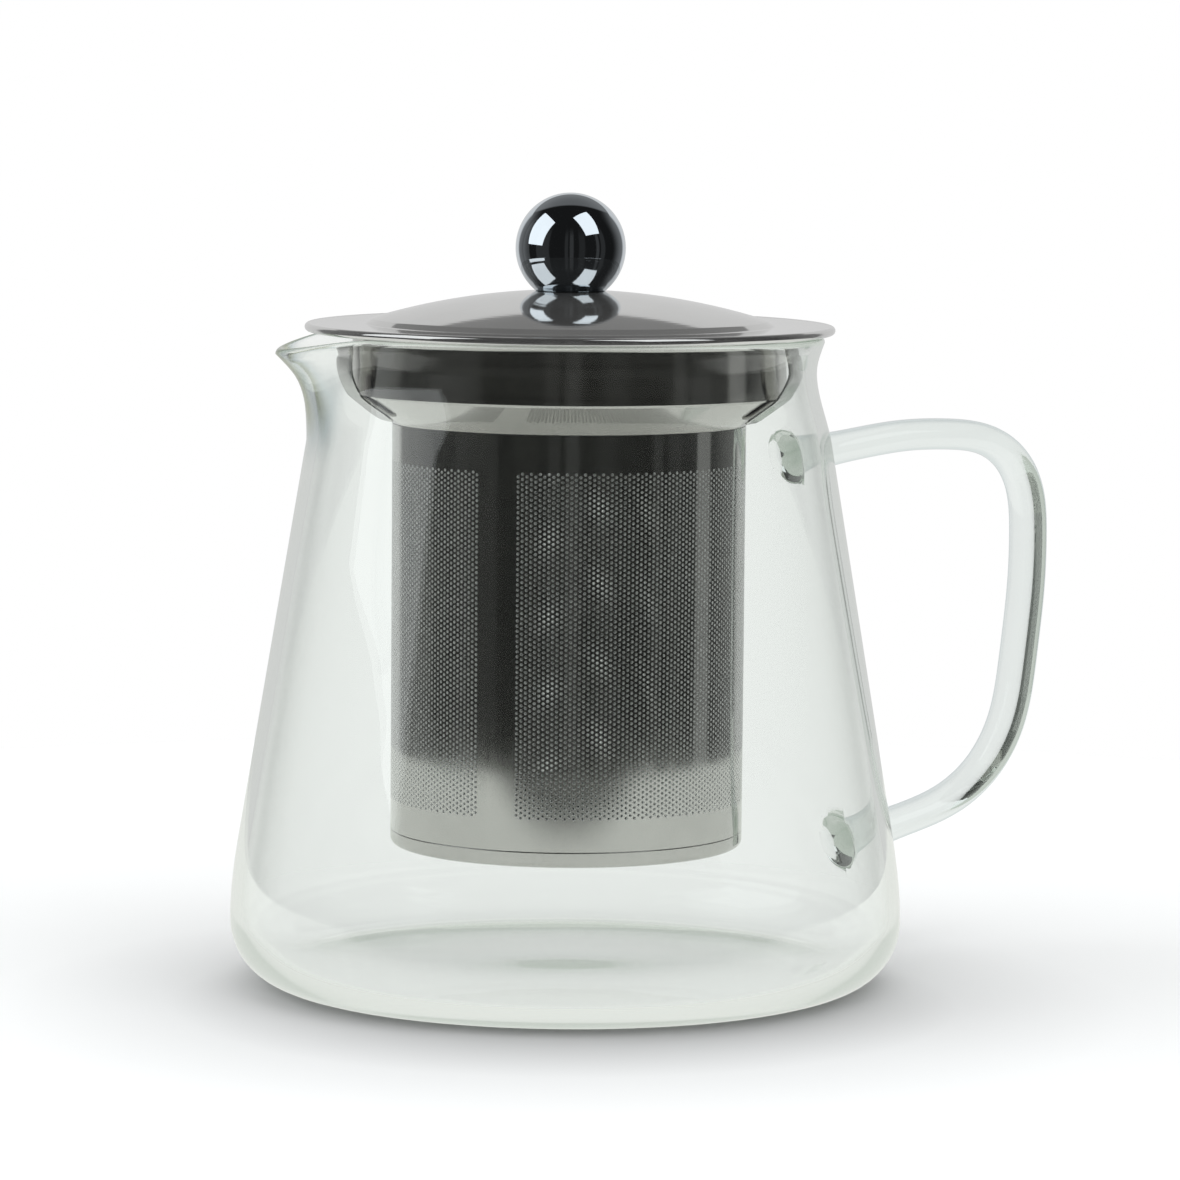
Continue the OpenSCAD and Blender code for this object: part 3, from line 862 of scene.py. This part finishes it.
def floor():
    profile = [(0.0, 0.0), (120.0, 0.0), (220.0, 0.0), (310.0, 0.0)]
    ob = new_object("floor", new_mesh("floor", *revolve(profile, 96, closed=False)))
    ob.location.z = -0.00005
    mat, g, bsdf, out = material("pale_floor")
    g.feed(bsdf, "Roughness", 0.9)
    g.feed(bsdf, "Specular IOR Level", 0.0)
    point, r, a, _ = g.polar()
    # Painted shadow: the floor's colour darkens in a soft ring round the pot, centred a little
    # towards the viewer, as a shadow from a light behind would lean.
    painted_shadow_offset = g.add("VectorMath", {0: point, 1: (0.003, 0.022, 0.0)}, operation="ADD")
    painted_shadow_reach = g.add("VectorMath", {0: painted_shadow_offset.outputs[0]}, operation="LENGTH").outputs["Value"]
    g.feed(bsdf, "Base Color", g.ramp(g.times(painted_shadow_reach, 8.0), [
        (0.30, (0.60,) * 3), (0.40, (0.72,) * 3), (0.52, (0.86,) * 3), (0.75, (0.94,) * 3)]))
    # Polished parts and the glass see an evenly bright table, as under a broad overhead light.
    # What the glass itself mirrors from the table in front is painted dim, a painted shade so that
    # the basket shows through, and the table's mirrored glow is painted darker towards its front
    # edge.
    path = g.add("LightPath")
    front = g.times(r, g.math("COSINE", g.plus(a, math.pi / 2 - CAMERA_AZ)))
    outside = g.under(path.outputs["Transmission Depth"], 2.5)
    painted_dimming = g.most(g.times(outside, g.fade(front, 0.055, 0.10, 0.0, 0.93)),
                  g.fade(front, 0.19, 0.275, 0.0, 0.88))
    mirrored = g.glow((0.86, 0.87, 0.84), g.minus(1.0, painted_dimming))
    through = g.times(path.outputs["Is Transmission Ray"], g.fade(r, 0.03, 0.13, 0.90, 1.0))
    seen = g.mix_shader(through, bsdf.outputs[0], g.glow((1.0, 1.0, 1.0)))
    g.feed(out, "Surface", g.mix_shader(g.over(path.outputs["Glossy Depth"], 0.5), seen, mirrored))
    ob.data.materials.append(mat)


floor()


def softbox(name, direction, distance, wide, high, radiance):
    """A rectangular light in this direction from the pot, as the camera sees directions."""
    d = Matrix.Rotation(CAMERA_AZ, 3, "Z") @ Vector(direction).normalized()
    light = bpy.data.lights.new(name, "AREA")
    light.shape, light.size, light.size_y = "RECTANGLE", wide, high
    light.energy = radiance * math.pi * wide * high
    light.color = (0.95, 0.98, 1.0)
    ob = new_object(name, light)
    ob.location = Vector((0, 0, 0.1)) + d * distance
    ob.rotation_mode = "QUATERNION"
    ob.rotation_quaternion = (-d).to_track_quat("-Z", "Y")


softbox("softbox_left", (-0.848, -0.137, 0.510), 1.5, 1.12, 1.40, 1.15)
softbox("softbox_right", (0.50, -0.40, 0.77), 1.5, 0.86, 1.24, 1.15)


# Faint upright bands in the room: angle from the front, half width and level.
BANDS = ((-108.0, 9.0, 0.05), (-62.0, 14.0, 0.022), (2.0, 2.5, 0.03), (-9.0, 2.0, 0.018),
         (24.0, 5.0, 0.012), (59.0, 2.0, 0.035), (72.0, 4.0, 0.02))


def world():
    """A white page, except that mirror surfaces see a pale screen and a ceiling behind the pot and
    a dim room in front of it, with a lighter doorway to the right and a few faint bands."""
    studio = bpy.data.worlds.new("studio")
    bpy.context.scene.world = studio
    g = Graph(studio)
    x, y, z = g.add("SeparateXYZ", {0: g.add("TexCoord").outputs["Generated"]}).outputs
    path = g.add("LightPath")
    # Angles run from the front, in degrees.
    c, s = math.cos(-CAMERA_AZ), math.sin(-CAMERA_AZ)
    ahead = g.plus(g.times(x, s), g.times(y, c))
    right = g.minus(g.times(x, c), g.times(y, s))
    angle = g.times(g.math("ARCTAN2", right, g.times(ahead, -1.0)), 180 / math.pi)
    wide = g.size(angle)

    def band(middle, half, level):
        return g.fade(g.size(g.minus(angle, middle)), half, half + 3.0, level, 0.0)

    screen = g.times(g.fade(wide, 132.0, 146.0, 0.0, 1.0), g.fade(z, 0.455, 0.475, 0.65, 0.0))
    above = g.plus(ahead, g.times(z, 0.95))
    ceiling = g.times(g.fade(above, 1.11, 1.18, 0.0, 1.0), g.fade(z, 0.45, 0.97, 0.21, 0.12))
    haze = g.fade(wide, 98.0, 138.0, 0.0, 0.16)
    # The doorway shows in the basket and a soft side light in the thick edges of the glass.
    deep = path.outputs["Transmission Depth"]
    door = g.times(band(97.0, 5.0, 0.22), g.over(deep, 2.5))
    flank = g.times(g.fade(g.size(g.minus(wide, 88.0)), 28.0, 50.0, 0.26, 0.0),
                    g.times(g.over(deep, 0.5), g.under(deep, 2.5)))
    room = g.plus(haze, g.plus(door, flank))
    for middle, half, level in BANDS:
        room = g.plus(room, band(middle, half, level))
    room = g.times(room, g.fade(z, 0.35, 0.75, 1.0, 0.0))
    dim = g.plus(g.most(g.most(screen, ceiling), room), 0.010)
    grey = g.add("CombineColor", {0: dim, 1: dim, 2: dim}).outputs[0]

    page = g.mix_colour(path.outputs["Is Diffuse Ray"], (1.0, 1.0, 1.0, 1), (0.93, 0.94, 0.94, 1))
    seen = g.mix_colour(g.over(path.outputs["Glossy Depth"], 0.5), page, grey)
    back = g.add("Background", {0: seen})
    g.add("OutputWorld", {0: back.outputs[0]})


world()

cam_data = bpy.data.cameras.new("camera")
cam = new_object("camera", cam_data)
bpy.context.scene.camera = cam
cam_data.sensor_width = 36.0
cam_data.lens = 36.0 * 5304 / 1180      # a focal length of 5304 in a frame 1180 wide
cam.location = (0.886 * math.sin(CAMERA_AZ), -0.886 * math.cos(CAMERA_AZ), 0.1575)
# It looks 5.9 degrees down, a quarter of a degree off the pot's axis, and rolls by half a degree.
turn = (Matrix.Rotation(CAMERA_AZ - math.radians(0.24), 4, "Z")
        @ Matrix.Rotation(math.radians(90 - 5.9), 4, "X")
        @ Matrix.Rotation(math.radians(0.5), 4, "Z"))
cam.rotation_mode = "QUATERNION"
cam.rotation_quaternion = turn.to_quaternion()
cam_data.clip_start, cam_data.clip_end = 0.01, 50.0

view = bpy.context.scene.view_settings
view.view_transform = "Standard"
view.look = "None"
view.exposure, view.gamma = 0.0, 1.0

bpy.context.view_layer.update()
